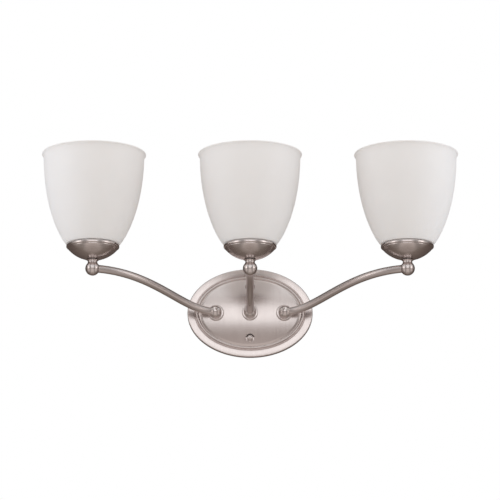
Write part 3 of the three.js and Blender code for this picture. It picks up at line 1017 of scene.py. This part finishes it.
def washer_outline(low, high):
    """Flat washer with slightly broken edges."""
    return [(NIPPLE_BORE, low), (8, low, 0.15), (8, high, 0.15), (NIPPLE_BORE, high)]


def hex_nut(low, high):
    """Six-sided nut with a round hole."""
    bm = bmesh.new()
    outer = bmesh.ops.create_circle(bm, segments=SMALL_STEPS, radius=NUT_CORNER_RADIUS)["verts"]
    half_side = math.pi / 6
    for vert in outer:
        angle = math.atan2(vert.co.y, vert.co.x) % (2 * half_side) - half_side
        vert.co *= math.cos(half_side) / math.cos(angle)
    bmesh.ops.create_circle(bm, segments=SMALL_STEPS, radius=NIPPLE_BORE)
    flat = bmesh.ops.bridge_loops(bm, edges=bm.edges[:])["faces"]
    raised = bmesh.ops.extrude_face_region(bm, geom=flat, use_keep_orig=True)["geom"]
    top = [part for part in raised if isinstance(part, bmesh.types.BMVert)]
    bmesh.ops.translate(bm, vec=(0, 0, high - low), verts=top)
    bmesh.ops.translate(bm, vec=(0, 0, low), verts=bm.verts)
    bmesh.ops.recalc_face_normals(bm, faces=bm.faces)
    return bm


def smooth_copy(node, material):
    """A round, smooth copy of a bent wire, which the rounding leaves thinner than its CAD shape."""
    bm = bmesh.new()
    bm.from_mesh(frame["nodes"][node].data)
    bmesh.ops.remove_doubles(bm, verts=bm.verts, dist=1e-6)
    bmesh.ops.scale(bm, vec=(1 / MM, 1 / MM, 1 / MM), verts=bm.verts)
    piece = finished(bm, node, material)
    modifier = piece.modifiers.new("round", "SUBSURF")
    modifier.levels = WIRE_ROUNDING
    modifier.render_levels = WIRE_ROUNDING


class VANITY_OT_hardware(bpy.types.Operator):
    """Make the strap, studs, nuts, washers, running tubes, ground screw and leads"""

    bl_idname = "vanity.hardware"
    bl_label = "Hardware"

    def execute(self, context):
        zinc = kept(zinc_plate)
        for place, side in SIDES.items():
            stand = root_place(side)
            nipple = turned(threaded_tube(*ROOT_NIPPLE), SMALL_STEPS, closed=True)
            washer = turned(washer_outline(*ROOT_WASHER), SMALL_STEPS, closed=True)
            finished(nipple, "root_nipple_" + place, zinc, stand)
            finished(washer, "root_washer_" + place, zinc, stand)
            finished(hex_nut(*ROOT_NUT), "root_nut_" + place, zinc, stand)
        for place in SIDES:
            stand = lamp_place(place)
            nipple = turned(threaded_tube(*STEM_NIPPLE), SMALL_STEPS, closed=True)
            finished(nipple, "stem_nipple_" + place, zinc, stand)
            finished(hex_nut(*CUP_NUT), "cup_nut_" + place, zinc, stand)
        self.strap(zinc)
        self.leads()
        return {"FINISHED"}

    def strap(self, zinc):
        """The strap, which keeps its CAD shape, with its studs and ground screw."""
        strap = frame["nodes"]["mounting_strap"]
        strap.data.materials.clear()
        strap.data.materials.append(zinc)
        stud = [(0, 0.3), (STUD_RADIUS, 0.3, 0.4), (STUD_RADIUS, STUD_TIP, 0.6), (0, STUD_TIP)]
        for name, z in zip(("lower", "upper"), STUD_HEIGHTS):
            finished(turned(stud, SMALL_STEPS), "stud_" + name, zinc, outward(0, z))
        green = kept(drawn_metal, "green screw", linear("#2f7d4a"))
        shank = [(0, 0.3), (STUD_RADIUS, 0.3), (STUD_RADIUS, 3.6)]
        screw = shank + [(4.4, 3.6, 0.2), (4.4, 5, 0.5), (3.2, 5.8, 0.6), (0, 5.8)]
        finished(turned(screw, SMALL_STEPS), "ground_screw", green, outward(0, GROUND_SCREW_Z))

    def leads(self):
        """The bare ground wire, and a black and a white insulated wire for each lamp."""
        smooth_copy("ground_wire", kept(drawn_metal, "bare copper", linear("#b87348")))
        for place in SIDES:
            smooth_copy("lead_black_" + place, kept(moulded, "black vinyl", linear("#1b1b1d"), 0.4, 0.3))
            smooth_copy("lead_white_" + place, kept(moulded, "white vinyl", linear("#dedbd4"), 0.4, 0.3))


# ---- Studio ----

FLOOR_HEIGHT = -1.35
FLOOR_HALF = 30
CAMERA_PLACE = (-0.0001, -3.7616, -0.8265)
CAMERA_PITCH = 13.7
CAMERA_LENS = 201.6
CAMERA_REACH = 60
SENSOR_WIDTH = 36
AIM = (0, -0.05, 0.03)
SIDE_AIM = (0, -0.13, 0.12)

# Brightness of the room by the sine of the height, in front and behind: straight down is -1
ROOM_FRONT = (
    (-1, "#a59a93"),
    (-0.9, "#d3cac4"),
    (-0.4, "#d8cfca"),
    (-0.24, "#c6bcb7"),
    (-0.08, "#a69b95"),
    (0.06, "#d0cbc8"),
    (0.36, "#d6d0cd"),
    (0.48, "#ffffff"),
    (0.76, "#ffffff"),
    (0.9, "#7b7069"),
)
ROOM_BACK = (
    (-1, "#a59a93"),
    (-0.88, "#7f746c"),
    (-0.5, "#6a5f59"),
    (-0.1, "#5a504b"),
    (0.7, "#5a504b"),
    (1, "#7b7069"),
)
# Share of the brightness in front by how far a direction lies to either side
ROOM_SIDES = ((0, "#ffffff"), (0.32, "#ffffff"), (0.45, "#bcbcbc"), (0.58, "#bcbcbc"), (0.74, "#ffffff"))


def window(name, radiance, colour, size, place, aim=AIM):
    """A rectangular soft light of a given brightness, which does not show to the camera."""
    width, height = size
    lamp = bpy.data.lights.new(name, "AREA")
    lamp.shape = "RECTANGLE"
    lamp.size = width
    lamp.size_y = height
    lamp.energy = radiance * math.pi * width * height
    lamp.color = linear(colour)
    light = bpy.data.objects.new(name, lamp)
    light.location = place
    light.rotation_euler = (Vector(aim) - Vector(place)).to_track_quat("-Z", "Y").to_euler()
    light.visible_camera = False
    bpy.context.scene.collection.objects.link(light)
    return light


def studio_lights(studio):
    """A window in front and one overhead, and at each side a pane for matt surfaces and a card for metal."""
    window("front window", studio.window, "#fbfdff", (2.2, 0.78), (0, -3.0, 0.58))
    window("top window", studio.window, "#ffffff", (2.6, 1.6), (0, -1.0, 3.0))
    for name, side in (("left window", -1), ("right window", 1)):
        pane = window(name, studio.side, "#e1eeff", (0.4, 0.8), (side * 0.85, -0.32, 0.14), SIDE_AIM)
        pane.visible_glossy = False
        card = window(name + " card", studio.card, "#fbf6f3", (1.1, 1.4), (side * 2.7, -1.5, 0.5))
        card.visible_diffuse = False


def by_height(stops):
    """A ramp's stops over the range 0 to 1, from stops by the sine of the height."""
    return [((sine + 1) / 2, linear(colour)) for sine, colour in stops]


def room(tree):
    """The dim room that metal reflects: one set of bands in front of the wall and a darker one behind it."""
    heading = add(tree, "ShaderNodeTexCoord").outputs["Generated"]
    split = add(tree, "ShaderNodeSeparateXYZ", {"Vector": heading})
    height = add(tree, "ShaderNodeMapRange", {"Value": split.outputs["Z"], "From Min": -1, "From Max": 1})
    aside = add(tree, "ShaderNodeMath", {0: split.outputs["X"]}, operation="ABSOLUTE")
    share = add(
        tree,
        "ShaderNodeValToRGB",
        {"Fac": aside.outputs["Value"]},
        stops=[(place, linear(colour)) for place, colour in ROOM_SIDES],
    )
    halves = []
    for stops, strength in ((ROOM_BACK, 1), (ROOM_FRONT, share.outputs["Color"])):
        bands = add(tree, "ShaderNodeValToRGB", {"Fac": height.outputs["Result"]}, stops=by_height(stops))
        glow = {"Color": bands.outputs["Color"], "Strength": strength}
        halves.append(add(tree, "ShaderNodeBackground", glow).outputs["Background"])
    facing = add(
        tree,
        "ShaderNodeMapRange",
        {"Value": split.outputs["Y"], "From Min": 0.35, "From Max": -0.25},
    )
    both = add(tree, "ShaderNodeMixShader", {"Fac": facing.outputs["Result"], 1: halves[0], 2: halves[1]})
    return both.outputs["Shader"]


def studio_world(fill):
    """White behind the object, even fill on matt surfaces, and a room for metal to reflect."""
    world = bpy.data.worlds.new("studio")
    bpy.context.scene.world = world
    world.use_nodes = True
    tree = world.node_tree
    tree.nodes.clear()
    even = add(tree, "ShaderNodeBackground", {"Color": opaque(linear("#fffefd")), "Strength": fill})
    white = add(tree, "ShaderNodeBackground", {"Color": (1, 1, 1, 1), "Strength": 1})
    path = add(tree, "ShaderNodeLightPath")
    lit = add(
        tree,
        "ShaderNodeMixShader",
        {"Fac": path.outputs["Is Glossy Ray"], 1: even.outputs["Background"], 2: room(tree)},
    )
    seen = add(
        tree,
        "ShaderNodeMixShader",
        {"Fac": path.outputs["Is Camera Ray"], 1: lit.outputs["Shader"], 2: white.outputs["Background"]},
    )
    add(tree, "ShaderNodeOutputWorld", {"Surface": seen.outputs["Shader"]})


def studio_floor(colour):
    """A wide floor of pale paper, which metal does not reflect."""
    bm = bmesh.new()
    bmesh.ops.create_grid(bm, x_segments=1, y_segments=1, size=FLOOR_HALF)
    bmesh.ops.translate(bm, vec=(0, 0, FLOOR_HEIGHT), verts=bm.verts)
    floor = in_scene(bm, "floor")
    floor.data.materials.append(floor_paper(colour))
    floor.visible_glossy = False


def studio_camera(scene):
    """A long lens, below the light and looking up at it."""
    lens = bpy.data.cameras.new("camera")
    lens.lens = CAMERA_LENS
    lens.sensor_width = SENSOR_WIDTH
    lens.clip_end = CAMERA_REACH
    camera = bpy.data.objects.new("camera", lens)
    camera.location = CAMERA_PLACE
    camera.rotation_euler = (math.radians(90 + CAMERA_PITCH), 0, 0)
    scene.collection.objects.link(camera)
    scene.camera = camera


class VANITY_OT_stage(bpy.types.Operator):
    """Set out the floor, the soft windows, the room and the camera"""

    bl_idname = "vanity.stage"
    bl_label = "Studio"

    def execute(self, context):
        studio = context.scene.vanity_studio
        studio_floor(tuple(finishes().floor))
        studio_world(studio.fill)
        studio_lights(studio)
        studio_camera(context.scene)
        context.scene.view_settings.view_transform = "Standard"
        return {"FINISHED"}


class VANITY_PT_sidebar(bpy.types.Panel):
    """Lists the pieces in the 3D view's sidebar"""

    bl_idname = "VANITY_PT_sidebar"
    bl_label = "Vanity Light"
    bl_space_type = "VIEW_3D"
    bl_region_type = "UI"
    bl_category = "Vanity Light"

    def draw(self, context):
        for operator in OPERATORS:
            self.layout.operator(operator.bl_idname)


OPERATORS = (
    VANITY_OT_stage,
    VANITY_OT_backplate,
    VANITY_OT_cap_nuts,
    VANITY_OT_arm_roots,
    VANITY_OT_arm_tubes,
    VANITY_OT_couplings,
    VANITY_OT_cups,
    VANITY_OT_shades,
    VANITY_OT_lampholders,
    VANITY_OT_hardware,
)
GROUPS = {
    "vanity_sizes": VanitySizes,
    "vanity_finishes": VanityFinishes,
    "vanity_studio": VanityStudio,
}


def register():
    """Add the property groups, operators and panel."""
    for group in GROUPS.values():
        bpy.utils.register_class(group)
    for name, group in GROUPS.items():
        setattr(bpy.types.Scene, name, bpy.props.PointerProperty(type=group))
    for operator in (*OPERATORS, VANITY_PT_sidebar):
        bpy.utils.register_class(operator)


def unregister():
    """Take away what register adds."""
    for operator in (*OPERATORS, VANITY_PT_sidebar):
        bpy.utils.unregister_class(operator)
    for name, group in GROUPS.items():
        delattr(bpy.types.Scene, name)
        bpy.utils.unregister_class(group)


def main():
    """Make the studio and every piece."""
    register()
    for operator in OPERATORS:
        group, name = operator.bl_idname.split(".")
        getattr(getattr(bpy.ops, group), name)()


if __name__ == "__main__":
    main()
